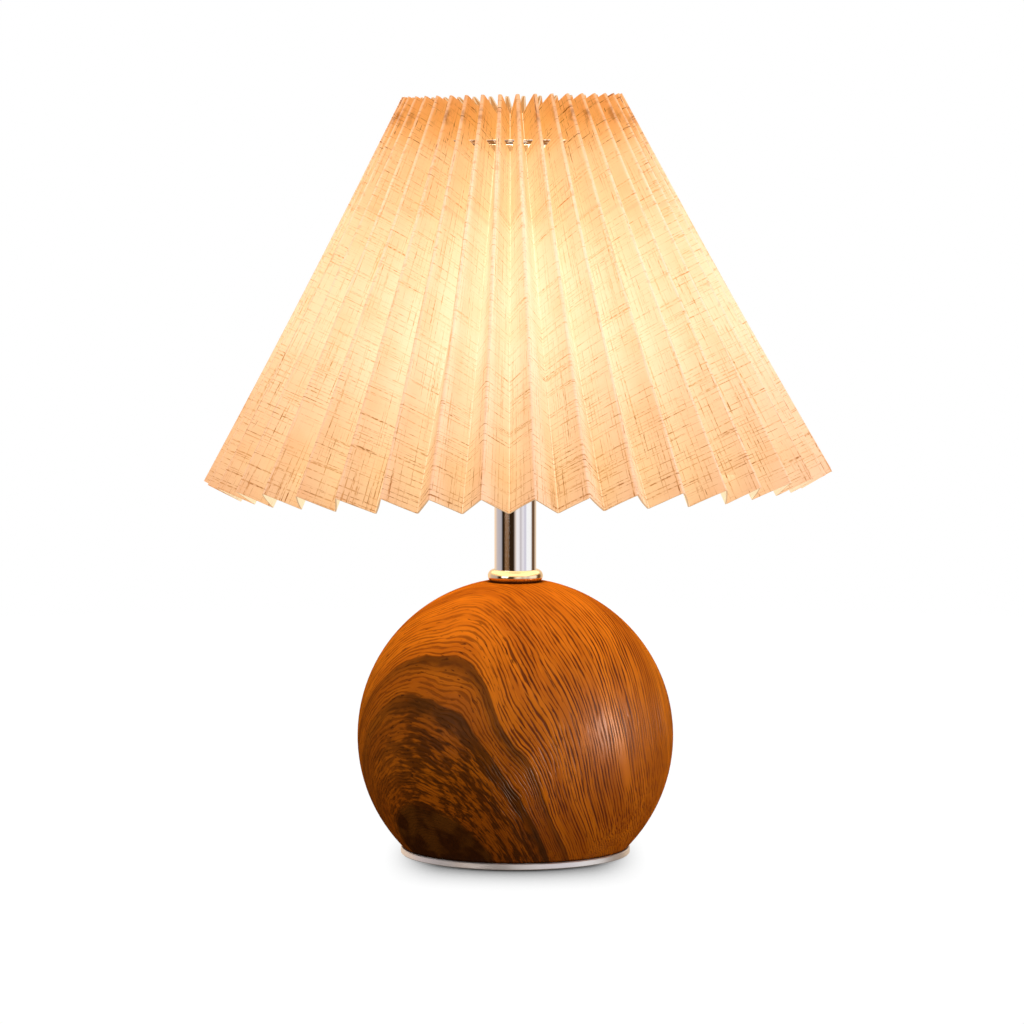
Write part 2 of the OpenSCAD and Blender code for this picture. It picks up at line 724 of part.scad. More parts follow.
module pleated_shade() {
    last = len(levels) - 1;
    points = [
        for (s = levels) for (k = [0:pleat_count - 1])
            each pleat_points(s, first_ridge + 2 * k * half_pitch, hole_cut(s))
    ];
    sides = [
        for (i = [0:last - 1]) for (k = [0:pleat_count - 1])
            let (in_hole = i >= hole_first && i < hole_last)
            each concat(
                [
                    for (e = outer_strips) [
                        index(i, k, e[0]), index(i, k + e[1], e[2]),
                        index(i + 1, k + e[1], e[2]), index(i + 1, k, e[0])
                    ]
                ],
                [
                    for (e = inner_strips) [
                        index(i, k + e[1], e[2]), index(i, k, e[0]),
                        index(i + 1, k, e[0]), index(i + 1, k + e[1], e[2])
                    ]
                ],
                in_hole
                ? [
                    [index(i + 1, k, 4), index(i, k, 4), index(i, k, 6), index(i + 1, k, 6)],
                    [index(i, k, 5), index(i + 1, k, 5), index(i + 1, k, 7), index(i, k, 7)]
                ]
                : [
                    [index(i, k, 4), index(i, k, 5), index(i + 1, k, 5), index(i + 1, k, 4)],
                    [index(i, k, 7), index(i, k, 6), index(i + 1, k, 6), index(i + 1, k, 7)]
                ]
            )
    ];
    ends = [
        for (k = [0:pleat_count - 1]) each concat(
            [
                for (e = rim_strips) [
                    index(0, k, e[0]), index(0, k, e[1]),
                    index(0, k + e[2], e[3]), index(0, k + e[2], e[4])
                ]
            ],
            [
                for (e = rim_strips) [
                    index(last, k, e[0]), index(last, k + e[2], e[4]),
                    index(last, k + e[2], e[3]), index(last, k, e[1])
                ]
            ],
            [
                [for (point = [4, 5, 7, 6]) index(hole_first, k, point)],
                [for (point = [5, 4, 6, 7]) index(hole_last, k, point)]
            ]
        )
    ];
    faces = [for (f = concat(sides, ends)) each [[f[0], f[1], f[2]], [f[0], f[2], f[3]]]];
    color("navajowhite") polyhedron(points = points, faces = faces);
}

// The bulb
module bulb_contact() color("silver") translate([0, 0, bulb_bottom])
    cylinder(r = bulb_contact_radius, h = bulb_contact_thickness);

module bulb_insulator() {
    color("black") turned([
        [0, bulb_contact_top],
        [bulb_contact_radius, bulb_contact_top],
        [bulb_cap_radius - bulb_thread_depth, bulb_cap_bottom],
        [bulb_cap_inner - fit_gap, bulb_cap_bottom],
        [bulb_cap_inner - fit_gap, bulb_cap_bottom + insulator_plug],
        [0, bulb_cap_bottom + insulator_plug]
    ]);
}

module bulb_cap() {
    thread = [
        for (i = [0:bulb_thread_count - 1]) for (corner = [[0, 0], [0.4, 0], [0.6, 1], [0.8, 1]])
            [
                bulb_cap_radius - corner[1] * bulb_thread_depth,
                bulb_cap_bottom + cut_margin + (i + corner[0]) * bulb_thread_pitch
            ]
    ];
    color("silver") turned(concat(
        [[bulb_cap_inner, bulb_cap_bottom], [bulb_cap_radius - bulb_thread_depth, bulb_cap_bottom]],
        thread,
        [
            [bulb_cap_radius, bulb_cap_bottom + cut_margin + bulb_thread_count * bulb_thread_pitch],
            [bulb_cap_radius, bulb_cap_top],
            [bulb_cap_inner, bulb_cap_top]
        ]
    ));
}

module bulb_globe() {
    inner_radius = globe_radius - glass_thickness;
    inner_neck = neck_radius - glass_thickness;
    color("whitesmoke") turned(concat(
        [[inner_neck, neck_bottom], [neck_radius, neck_bottom], [neck_radius, bulb_cap_top + cut_margin]],
        [for (a = globe_turns) [globe_radius * cos(a), globe_centre + globe_radius * sin(a)]],
        [[0, globe_centre + globe_radius], [0, globe_centre + inner_radius]],
        [
            for (i = [1:len(globe_turns)]) let (a = globe_turns[len(globe_turns) - i])
                [inner_radius * cos(a), globe_centre + inner_radius * sin(a)]
        ],
        [[inner_neck, bulb_cap_top + cut_margin + glass_thickness]]
    ));
}

module bulb_stem() {
    color("white") turned([
        [0, neck_bottom],
        [flare_radius, neck_bottom],
        [flare_radius, neck_bottom + flare_thickness],
        [stem_rod_radius, neck_bottom + flare_height],
        [stem_rod_radius, stem_rod_top],
        [0, stem_rod_top]
    ]);
}

module bulb_supports() {
    spoke = filament_offset + support_radius;
    color("gray") {
        translate([0, 0, stem_rod_top]) cylinder(r = support_radius, h = filament_top + 2 - stem_rod_top);
        for (height = [filament_bottom - support_radius, filament_top + support_radius])
            around(filament_count, 0, 0) translate([0, 0, height]) rotate([0, 90, 0])
                cylinder(r = support_radius, h = spoke);
    }
}

module bulb_filaments() {
    color("khaki") around(filament_count, 0, filament_offset) translate([0, 0, filament_bottom])
        cylinder(r = filament_radius, h = filament_length);
}

foot_pad();
foot_plate();
foot_screws();
base_ball();
ballast_weight();
cable_grommet();
bottom_nut();
bottom_washer();
threaded_rod();
neck_collar();
stem_tube();
stem_cap();
holder_cap();
holder_grub_screw();
holder_insert();
terminal_screws();
centre_contact();
screw_shell();
holder_shell();
lower_shade_ring();
upper_shade_ring();
carrier_hub();
carrier_legs();
carrier_ring();
pleated_shade();
bulb_contact();
bulb_insulator();
bulb_cap();
bulb_globe();
bulb_stem();
bulb_supports();
bulb_filaments();
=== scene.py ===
import json
import math
import random

import bpy
from mathutils import Matrix, Vector


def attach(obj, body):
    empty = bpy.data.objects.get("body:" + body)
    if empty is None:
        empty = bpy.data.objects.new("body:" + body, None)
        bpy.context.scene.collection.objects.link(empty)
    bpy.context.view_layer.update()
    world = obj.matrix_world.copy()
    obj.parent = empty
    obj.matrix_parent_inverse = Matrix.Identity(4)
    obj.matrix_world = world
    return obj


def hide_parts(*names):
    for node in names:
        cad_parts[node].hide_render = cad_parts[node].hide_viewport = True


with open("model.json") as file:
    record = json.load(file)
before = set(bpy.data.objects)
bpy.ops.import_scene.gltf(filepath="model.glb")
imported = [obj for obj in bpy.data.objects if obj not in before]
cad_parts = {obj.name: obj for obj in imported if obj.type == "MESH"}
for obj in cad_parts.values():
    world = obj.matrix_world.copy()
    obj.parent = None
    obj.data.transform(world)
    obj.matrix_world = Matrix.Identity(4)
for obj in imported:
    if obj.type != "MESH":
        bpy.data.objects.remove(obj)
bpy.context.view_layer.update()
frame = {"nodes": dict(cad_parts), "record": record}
nodes = frame["nodes"]

# Sizes of the shade, in metres and radians, as in the part's source
SHADE_TOP_RADIUS = 0.0519
SHADE_BOTTOM_RADIUS = 0.1495
SHADE_TOP_HEIGHT = 0.363
FOLD_LENGTH = 0.2049
PLEAT_COUNT = 40
PLEAT_WIDTH = 0.01885
SHEET_THICKNESS = 0.0007
FOLD_RADIUS = 0.0006
HOLE_HEIGHT = 0.0064
HOLE_HALF_WIDTH = 0.011
HOLE_FROM_TOP = 0.0139
FIRST_RIDGE = math.radians(-90 + 2.8)
HALF_PITCH = math.pi / PLEAT_COUNT
LEAN = math.asin((SHADE_BOTTOM_RADIUS - SHADE_TOP_RADIUS) / FOLD_LENGTH)
BULB_CENTRE = (0.0, 0.0, 0.2826)

# How the cloth hangs in the photograph: off plumb about a level line, with folds that bow inward
HANG_TURN = math.radians(-0.95)
HANG_HEIGHT = 0.272
SAG = 0.0011

# Small irregularities of the folds: at the top, and how much is added down to the rim
FOLD_SEED = 11
TURN_WAVER = 0.10
TURN_WAVER_GAIN = 0.30
PUSH_WAVER = 0.0001
PUSH_WAVER_GAIN = 0.0005
RIM_WAVER = 0.0004
PANEL_BOW = 0.0004

# Rows of the sheet's mesh down the fold, and columns over half a pleat
ROWS_ABOVE_SLOT = [0.0, 0.003, 0.0065, 0.010]
ROWS_BELOW_SLOT = [0.0235, 0.028, 0.034]
LONG_ROWS = 14
SLOT_SIDE_ROWS = 4
SLOT_CORNER_ROWS = 6
SLOT_CORNER_START = 0.9
ARC_STEPS = 3
PANEL_STEPS = 4
FOLD_SWING = math.radians(75)

# Kinds of the sheet's faces, in the order of its materials
OUTSIDE = 0
INSIDE = 1
CUT_EDGE = 2

# Pitch of the linen's threads and of the beads on them, to the metre
THREAD_PITCH = 1250.0
BEAD_PITCH = 520.0

# Ball of the foot: centre and radius of its turned surface
BALL_HEIGHT = 0.057305
BALL_RADIUS = 0.0757

# The wood's figure is in ball radii from its heart, squeezed sideways
WOOD_HEART = (-0.41, -0.576, -0.707)
WOOD_SQUEEZE = 1.75
WOOD_LEFT_SQUEEZE = 1.35
RING_DENSITY = 262.0
RING_SPREAD = 20.0
SPREAD_START = 1.4

# Camera, placed where the photograph was taken from
CAMERA_PLACE = (-0.0016, -2.1, 0.3444)
CAMERA_DROP = math.radians(4.888)
CAMERA_LENS = 155.1
SENSOR_WIDTH = 36.0

FLOOR_RADIUS = 1.1


# Node building

class Graph:
    """A material's or world's node tree, built from short calls that return output sockets."""

    def __init__(self, tree):
        self.tree = tree
        self.tree.nodes.clear()

    def node(self, kind, **settings):
        made = self.tree.nodes.new(kind)
        for key, value in settings.items():
            setattr(made, key, value)
        return made

    def put(self, socket, value):
        if isinstance(value, bpy.types.NodeSocket):
            self.tree.links.new(value, socket)
        elif value is not None:
            socket.default_value = value

    def math(self, operation, a, b=None, c=None):
        made = self.node("ShaderNodeMath", operation=operation)
        for socket, value in zip(made.inputs, (a, b, c)):
            self.put(socket, value)
        return made.outputs[0]

    def times(self, a, b):
        return self.math("MULTIPLY", a, b)

    def vector(self, operation, a, b=None):
        made = self.node("ShaderNodeVectorMath", operation=operation)
        self.put(made.inputs[0], a)
        self.put(made.inputs[1], b)
        return made.outputs["Value" if operation == "LENGTH" else "Vector"]

    def join(self, x, y, z=0.0):
        made = self.node("ShaderNodeCombineXYZ")
        for socket, value in zip(made.inputs, (x, y, z)):
            self.put(socket, value)
        return made.outputs[0]

    def split(self, vector):
        made = self.node("ShaderNodeSeparateXYZ")
        self.put(made.inputs[0], vector)
        return made.outputs

    def noise(self, vector, scale, detail=2.0, rough=0.5):
        made = self.node("ShaderNodeTexNoise")
        self.put(made.inputs["Vector"], vector)
        self.put(made.inputs["Scale"], scale)
        self.put(made.inputs["Detail"], detail)
        self.put(made.inputs["Roughness"], rough)
        return made.outputs["Fac"]

    def step(self, value, low, high, out_low=0.0, out_high=1.0):
        made = self.node("ShaderNodeMapRange", interpolation_type="SMOOTHSTEP")
        for socket, given in zip(made.inputs, (value, low, high, out_low, out_high)):
            self.put(socket, given)
        return made.outputs[0]

    def ramp(self, value, stops):
        made = self.node("ShaderNodeValToRGB")
        points = made.color_ramp.elements
        while len(points) < len(stops):
            points.new(0.5)
        for point, (place, colour) in zip(points, stops):
            point.position = place
            point.color = (*colour, 1.0)
        self.put(made.inputs[0], value)
        return made.outputs[0]

    def mix(self, share, a, b, blend="MIX"):
        made = self.node("ShaderNodeMix", data_type="RGBA", blend_type=blend)
        self.put(made.inputs[0], share)
        for socket, value in ((made.inputs[6], a), (made.inputs[7], b)):
            self.put(socket, (*value, 1.0) if isinstance(value, tuple) else value)
        return made.outputs[2]

    def bump(self, height, distance, strength=1.0):
        made = self.node("ShaderNodeBump")
        self.put(made.inputs["Height"], height)
        self.put(made.inputs["Distance"], distance)
        self.put(made.inputs["Strength"], strength)
        return made.outputs[0]

    def place(self):
        return self.node("ShaderNodeTexCoord").outputs["Object"]

    def surface(self, **inputs):
        made = self.node("ShaderNodeBsdfPrincipled")
        for name, value in inputs.items():
            socket = made.inputs[name.replace("_", " ")]
            self.put(socket, (*value, 1.0) if isinstance(value, tuple) and len(value) == 3 else value)
        return made.outputs[0]

    def finish(self, shader, kind="ShaderNodeOutputMaterial"):
        self.put(self.node(kind).inputs["Surface"], shader)


def new_material(name):
    made = bpy.data.materials.new(name)
    made.use_nodes = True
    return made, Graph(made.node_tree)


# Linen of the shade: slubbed cloth lit from behind, with painted light of the bulb's glow

def threads(g, along, across, seed, run):
    """Noise of the threads that run one way on the flat sheet: long faint ones, slubs and beads."""
    side = g.times(across, THREAD_PITCH)
    faint_place = g.join(g.times(along, run), side, seed)
    slub_place = g.join(g.times(along, 6 * run), side, seed + 9.0)
    bead_place = g.join(g.times(along, BEAD_PITCH), side, seed + 5.0)
    faint = g.noise(faint_place, 1.0, 2.0, 0.6)
    slub = g.noise(slub_place, 1.0, 1.0, 0.5)
    beads = g.noise(bead_place, 1.0, 0.0, 0.5)
    return faint, slub, beads


def cloth_pattern(g):
    """Sockets of the cloth's pattern on the flat sheet, in metres."""
    flat = g.split(g.node("ShaderNodeUVMap", uv_map="flat").outputs[0])
    across = flat[0]
    down = flat[1]
    share = g.math("DIVIDE", down, FOLD_LENGTH)
    turn = g.math("FRACT", g.math("DIVIDE", across, 2 * PLEAT_WIDTH))
    from_ridge = g.math("MINIMUM", turn, g.math("SUBTRACT", 1.0, turn))
    ridge_gap = g.times(from_ridge, 2 * PLEAT_WIDTH)
    weft, weft_slub, weft_beads = threads(g, across, down, 1.0, 13.0)
    warp, warp_slub, warp_beads = threads(g, down, across, 4.0, 17.0)
    weft_line = g.times(g.step(weft, 0.54, 0.64), g.step(weft_beads, 0.38, 0.58, 0.24, 1.0))
    warp_line = g.times(g.step(warp, 0.55, 0.65), g.step(warp_beads, 0.38, 0.58, 0.24, 1.0))
    lines = g.math("MAXIMUM", weft_line, warp_line)
    # Slubs lie on the threads and gather at both ends of the sheet
    crowd = g.math("ADD", g.step(share, 0.20, 0.08, 0.0, 0.07), g.step(share, 0.62, 0.85, 0.0, 0.035))
    weft_dash = g.times(weft_line, g.step(g.math("ADD", weft_slub, crowd), 0.57, 0.69))
    warp_dash = g.times(warp_line, g.step(g.math("ADD", warp_slub, crowd), 0.57, 0.69))
    knots = g.step(g.math("ADD", g.math("MAXIMUM", weft_slub, warp_slub), crowd), 0.79, 0.84)
    slubs = g.math("MAXIMUM", g.math("MAXIMUM", weft_dash, warp_dash), knots)
    return {"across": across, "down": down, "share": share, "ridge_gap": ridge_gap, "lines": lines,
            "slubs": slubs, "height": g.math("ADD", weft, warp)}


def linen_material():
    made, g = new_material("linen")
    cloth = cloth_pattern(g)
    across, down, share, ridge_gap = (cloth[key] for key in ("across", "down", "share", "ridge_gap"))
    cloud_place = g.join(g.times(across, 30.0), g.times(down, 40.0), 3.0)
    cloud = g.noise(cloud_place, 1.0, 3.0, 0.6)

    # What the threads and marks take away from the light, at the top, the middle and the rim
    line_stain = g.ramp(share, [(0.08, (0.68, 0.46, 0.28)), (0.30, (0.86, 0.70, 0.48)),
                                (0.62, (0.84, 0.69, 0.47)), (0.90, (0.68, 0.50, 0.31))])
    slub_stain = g.ramp(share, [(0.08, (0.25, 0.11, 0.04)), (0.30, (0.68, 0.40, 0.16)),
                                (0.62, (0.64, 0.38, 0.15)), (0.90, (0.38, 0.20, 0.07))])
    stain = g.mix(g.times(g.step(cloud, 0.40, 0.75), 0.30), (1.0, 1.0, 1.0), (0.96, 0.72, 0.48))
    stain = g.mix(g.times(cloth["lines"], g.step(share, 0.10, 0.30, 0.45, 0.85)), stain, line_stain)
    stain = g.mix(g.times(cloth["slubs"], 0.9), stain, slub_stain)
    # A thin darker line across the sheet about 58 mm down the fold, painted shadow of the ring on the
    # ridges near the ring's level, and specks along the ridges
    dark_line = g.times(g.step(down, 0.0565, 0.0579), g.step(down, 0.0597, 0.0585))
    stain = g.mix(g.times(dark_line, 0.15), stain, (0.65, 0.42, 0.22))
    # Painted shadow of the carrier ring on the ridges near the ring's level, broken up into patches
    near_ring = g.times(g.step(down, 0.005, 0.0095), g.step(down, 0.0165, 0.0125))
    ring_shadow = g.times(near_ring, g.step(ridge_gap, 0.0050, 0.0006))
    ring_shadow = g.times(ring_shadow, g.step(cloud, 0.42, 0.60, 0.10, 1.0))
    ring_shadow_place = g.join(g.times(across, 420.0), g.times(down, 240.0), 6.0)
    ring_shadow = g.times(ring_shadow, g.step(g.noise(ring_shadow_place, 1.0, 2.0, 0.6), 0.40, 0.62, 0.10, 1.0))
    stain = g.mix(g.times(ring_shadow, 0.75), stain, (0.50, 0.38, 0.31))
    speck_place = g.join(g.times(across, 420.0), g.times(down, 300.0), 8.0)
    specks = g.step(g.noise(speck_place, 1.0, 1.0, 0.5), 0.58, 0.70)
    specks = g.times(specks, g.step(ridge_gap, 0.0024, 0.0010))
    stain = g.mix(g.times(specks, g.step(share, 0.35, 0.80, 0.35, 0.15)), stain, (0.72, 0.45, 0.22))

    # Painted light of the bulb through the cloth, by distance down the fold: orange at the top, palest in
    # the middle, deeper toward the rim
    glow = g.ramp(share, [
        (0.00, (0.80, 0.34, 0.07)), (0.05, (0.87, 0.41, 0.09)), (0.10, (0.91, 0.50, 0.16)),
        (0.14, (0.91, 0.63, 0.30)), (0.19, (0.91, 0.62, 0.29)), (0.26, (0.91, 0.61, 0.28)),
        (0.31, (0.91, 0.71, 0.39)), (0.36, (0.92, 0.75, 0.43)), (0.48, (0.92, 0.81, 0.50)),
        (0.61, (0.92, 0.80, 0.49)), (0.69, (0.90, 0.72, 0.42)), (0.78, (0.88, 0.62, 0.32)),
        (0.91, (0.80, 0.47, 0.18)), (1.00, (0.70, 0.37, 0.13)),
    ])
    # The bulb's light falls off from the valleys to the ridges
    near_ridge = g.step(ridge_gap, 0.015, 0.0005)
    glow = g.mix(near_ridge, glow, g.mix(1.0, glow, (0.95, 0.80, 0.68), "MULTIPLY"))
    # Painted light along the folds: a dimmer line down each ridge and a bright line down each valley
    ridge_glow = g.ramp(share, [(0.00, (0.82, 0.48, 0.28)), (0.25, (0.78, 0.48, 0.30)),
                                (0.40, (0.72, 0.44, 0.28)), (0.75, (0.72, 0.41, 0.22)),
                                (1.00, (0.66, 0.33, 0.14))])
    on_ridge = g.step(ridge_gap, 0.0009, 0.0003)
    glow = g.mix(g.times(on_ridge, 0.8), glow, ridge_glow)
    in_valley = g.step(ridge_gap, PLEAT_WIDTH - 0.0009, PLEAT_WIDTH - 0.0003)
    glow = g.mix(g.times(in_valley, 0.6), glow, (1.15, 0.92, 0.60))
    glow = g.mix(1.0, glow, stain, "MULTIPLY")
    # Painted shade: the cloth's colour is darker and warmer at the top, where the pleats close up
    body = g.ramp(share, [(0.05, (0.20, 0.12, 0.06)), (0.25, (0.28, 0.26, 0.25))])
    body = g.mix(1.0, body, stain, "MULTIPLY")
    relief = g.bump(cloth["height"], 0.00025, 0.5)
    face = g.surface(Base_Color=body, Roughness=0.9, Normal=relief, Specular_IOR_Level=0.1,
                     Emission_Color=glow, Emission_Strength=1.0)
    through = g.node("ShaderNodeBsdfTranslucent")
    g.put(through.inputs["Color"], g.mix(1.0, (0.95, 0.72, 0.55), stain, "MULTIPLY"))
    lit = g.node("ShaderNodeMixShader")
    g.put(lit.inputs[0], 0.22)
    g.put(lit.inputs[1], face)
    g.put(lit.inputs[2], through.outputs[0])
    g.finish(lit.outputs[0])
    return made


def lining_material():
    made, g = new_material("lining")
    cloth = cloth_pattern(g)
    body = g.mix(g.times(cloth["lines"], 0.25), (0.13, 0.085, 0.05), (0.09, 0.05, 0.02))
    # Painted light: the lining glows with the bulb's light, warmer at the top and brightest at the rim
    glow = g.ramp(cloth["share"], [(0.04, (0.95, 0.42, 0.13)), (0.18, (1.10, 0.58, 0.22)),
                                   (0.80, (1.20, 0.80, 0.42)), (0.94, (1.70, 1.36, 0.86))])
    glow = g.mix(g.times(cloth["lines"], 0.3), glow, (0.8, 0.40, 0.14))
    relief = g.bump(cloth["height"], 0.0001, 0.4)
    sheet = g.surface(Base_Color=body, Roughness=0.55, Normal=relief, Specular_IOR_Level=0.1,
                      Emission_Color=glow, Emission_Strength=0.55)
    clear = g.node("ShaderNodeBsdfTransparent")
    path = g.node("ShaderNodeLightPath")
    both = g.node("ShaderNodeMixShader")
    g.put(both.inputs[0], path.outputs["Is Shadow Ray"])
    g.put(both.inputs[1], sheet)
    g.put(both.inputs[2], clear.outputs[0])
    g.finish(both.outputs[0])
    return made


def cut_edge_material():
    made, g = new_material("cut_edge")
    grain = g.noise(g.place(), 1800.0, 2.0, 0.6)
    body = g.ramp(grain, [(0.3, (0.30, 0.19, 0.10)), (0.7, (0.46, 0.32, 0.20))])
    # Painted light: the cut edges glow with the bulb's light carried through the lining, brightest around
    # the slots
    down = g.split(g.node("ShaderNodeUVMap", uv_map="flat").outputs[0])[1]
    by_slot = g.times(g.step(down, 0.010, 0.0115), g.step(down, 0.024, 0.0225))
    glow = g.mix(by_slot, (0.50, 0.33, 0.18), (1.25, 1.05, 0.80))
    edge = g.surface(Base_Color=body, Roughness=0.5, Normal=g.bump(grain, 0.0001, 0.4),
                     Emission_Color=glow, Emission_Strength=1.0)
    g.finish(edge)
    return made


# Wood of the ball: nested ovals around a dark heart

def wood_material():
    made, g = new_material("wood")
    place = g.place()
    warp = g.noise(place, 26.0, 2.0, 0.5)
    ripple = g.noise(place, 95.0, 2.0, 0.5)
    local = g.split(place)
    x = g.math("SUBTRACT", g.math("DIVIDE", local[0], BALL_RADIUS), WOOD_HEART[0])
    y = g.math("SUBTRACT", g.math("DIVIDE", local[1], BALL_RADIUS), WOOD_HEART[1])
    height = g.math("DIVIDE", g.math("SUBTRACT", local[2], BALL_HEIGHT), BALL_RADIUS)
    z = g.math("SUBTRACT", height, WOOD_HEART[2])
    sideways = g.times(x, g.step(x, -0.15, 0.05, WOOD_LEFT_SQUEEZE, WOOD_SQUEEZE))
    inward = g.times(y, WOOD_SQUEEZE)
    around = g.math("ARCTAN2", sideways, z)
    along = g.math("ARCTAN2", inward, z)
    reach = g.vector("LENGTH", g.join(sideways, inward, z))
    # A shoulder in the outer rings, to the right of their crown
    swell = g.math("COSINE", g.times(g.math("SUBTRACT", around, 0.19), 8.2))
    swell = g.times(swell, g.step(around, -0.20, 0.05))
    swell = g.times(swell, g.step(reach, 1.08, 1.28))
    reach = g.math("SUBTRACT", reach, g.times(swell, 0.028))
    reach = g.math("ADD", reach, g.times(g.math("SUBTRACT", warp, 0.5), 0.06))
    unrest = g.step(reach, 1.25, 1.45, 0.03, 0.010)
    reach = g.math("ADD", reach, g.times(g.math("SUBTRACT", ripple, 0.5), unrest))

    def streaks(density, run, detail):
        return g.noise(g.join(g.times(reach, density), g.times(around, run),
                              g.times(along, run)), 1.0, detail, 0.55)

    # Fine growth lines, broken into strokes
    drift = g.times(streaks(9.0, 2.2, 2.0), 16.0)
    beyond = g.math("MAXIMUM", g.math("SUBTRACT", reach, SPREAD_START), 0.0)
    rings = g.math("SUBTRACT", g.times(reach, RING_DENSITY), g.times(beyond, RING_SPREAD))
    beat = g.math("SINE", g.math("ADD", rings, drift))
    stroke = g.math("MULTIPLY_ADD", streaks(30.0, 6.0, 2.0), 5.0, -2.5)
    line = g.step(g.math("ADD", beat, stroke), -0.2, 1.2)
    broad = streaks(8.0, 1.0, 2.0)
    pores = streaks(95.0, 13.0, 1.0)
    dashes = streaks(42.0, 5.2, 2.0)
    arcs = streaks(12.0, 1.3, 2.0)

    orange = (0.44, 0.108, 0.003)
    pale = (0.62, 0.170, 0.005)
    brown = (0.12, 0.024, 0.0006)
    dark = (0.038, 0.0095, 0.0004)
    colour = g.mix(g.step(broad, 0.35, 0.68), orange, pale)
    # The lines show more toward the ball's right side, and the figure pales toward its left
    width = g.math("DIVIDE", local[0], BALL_RADIUS)
    depth = g.times(g.step(width, -0.4, 0.10, 0.60, 1.0), g.step(height, 0.95, 0.65, 0.55, 1.0))
    # They close up and fade toward the right edge and the foot
    depth = g.times(depth, g.step(width, 0.95, 0.65, 0.45, 1.0))
    depth = g.times(depth, g.step(height, -0.72, -0.40, 0.60, 1.0))
    colour = g.mix(g.times(line, depth), colour, brown)
    # Pale flecks between the lines
    flecks = g.step(streaks(75.0, 5.0, 2.0), 0.56, 0.70)
    flecks = g.times(flecks, g.step(reach, 1.25, 1.45, 0.15, 0.55))
    colour = g.mix(flecks, colour, pale)
    between = g.times(g.step(reach, 1.31, 1.28), 0.32)
    colour = g.mix(between, colour, (0.16, 0.040, 0.001))
    inside = g.step(reach, 1.14, 1.02)
    colour = g.mix(g.times(inside, 0.25), colour, (0.15, 0.040, 0.001))
    layered = g.math("ADD", g.times(dashes, 0.62), g.times(arcs, 0.38))
    mottle = g.times(inside, g.step(layered, 0.44, 0.56))
    paling = g.step(width, -0.95, -0.55, 0.35, 1.0)
    mottle = g.times(mottle, paling)
    colour = g.mix(g.times(mottle, 0.80), colour, dark)
    core = g.step(reach, 0.57, 0.50)
    core_colour = g.mix(g.step(ripple, 0.44, 0.66), dark, (0.105, 0.036, 0.004))
    colour = g.mix(g.times(core, 0.95), colour, core_colour)
    inner_band = g.times(g.step(reach, 0.99, 1.08), g.step(reach, 1.120, 1.105))
    outer_band = g.times(g.step(reach, 1.19, 1.285), g.step(reach, 1.310, 1.295))
    outer_band = g.times(outer_band, g.step(around, 1.25, 0.75, 0.5, 0.9))
    bands = g.times(g.math("MAXIMUM", inner_band, outer_band), paling)
    bands = g.times(bands, g.step(stroke, -0.8, 0.8, 0.78, 0.92))
    colour = g.mix(bands, colour, (0.060, 0.018, 0.001))
    pore_mark = g.times(g.step(pores, 0.66, 0.74), g.step(reach, 1.9, 1.6))
    colour = g.mix(g.times(pore_mark, 0.75), colour, dark)

    # Painted shade: the wood is redder and deeper toward the foot, where less light reaches the ball
    painted_foot_shade = g.step(height, 0.55, -0.45)
    colour = g.mix(painted_foot_shade, colour, g.mix(1.0, colour, (0.92, 0.80, 0.50), "MULTIPLY"))

    # Painted contact shadow where the ball meets its collar and its foot
    shut = g.node("ShaderNodeAmbientOcclusion", samples=8)
    g.put(shut.inputs["Distance"], 0.006)
    colour = g.mix(g.step(shut.outputs["AO"], 0.90, 0.35, 0.0, 0.9), colour, (0.012, 0.003, 0.0))

    relief = g.bump(g.math("ADD", line, g.times(pore_mark, 0.8)), -0.00014, 0.9)
    timber = g.surface(Base_Color=colour, Roughness=0.6, Normal=relief, Specular_IOR_Level=0.0)
    lacquer = g.node("ShaderNodeBsdfGlossy")
    g.put(lacquer.inputs["Color"], (1.0, 0.78, 0.64, 1.0))
    g.put(lacquer.inputs["Roughness"], g.step(line, 0.0, 1.0, 0.38, 0.50))
    furrows = g.times(line, g.step(reach, 0.6, 1.3))
    g.put(lacquer.inputs["Normal"], g.bump(furrows, -0.0003, 1.0))
    both = g.node("ShaderNodeMixShader")
    g.put(both.inputs[0], 0.008)
    g.put(both.inputs[1], timber)
    g.put(both.inputs[2], lacquer.outputs[0])
    g.finish(both.outputs[0])
    return made


# Metals

def plated_material(name, colour, rough, wear=0.25):
    """Plated or polished metal with fine handling marks along its axis."""
    made, g = new_material(name)
    place = g.place()
    marks = g.noise(g.vector("MULTIPLY", place, (1.0, 1.0, 0.02)), 1400.0, 2.0, 0.6)
    haze = g.noise(place, 55.0, 3.0, 0.6)
    shine = g.math("ADD", rough, g.times(g.step(haze, 0.45, 0.8), wear * 0.2))
    tint = g.mix(g.times(g.step(haze, 0.5, 0.85), wear), colour, tuple(0.82 * v for v in colour))
    relief = g.bump(marks, 0.00002, 0.5 * rough)
    g.finish(g.surface(Base_Color=tint, Metallic=1.0, Roughness=shine, Normal=relief))
    return made


def turned_metal_material(name, colour):
    """Turned disc with rings of tool marks."""
    made, g = new_material(name)
    place = g.place()
    local = g.split(place)
    out = g.vector("LENGTH", g.join(local[0], local[1]))
    ring_place = g.join(g.times(out, 3000.0), g.times(local[2], 3000.0))
    rings = g.noise(ring_place, 1.0, 2.0, 0.6)
    haze = g.noise(place, 70.0, 3.0, 0.6)
    tint = g.mix(g.step(rings, 0.3, 0.7), tuple(0.93 * v for v in colour), colour)
    rough = g.step(haze, 0.3, 0.7, 0.36, 0.46)
    relief = g.bump(rings, 0.00006, 0.4)
    g.finish(g.surface(Base_Color=tint, Metallic=1.0, Roughness=rough, Normal=relief))
    return made


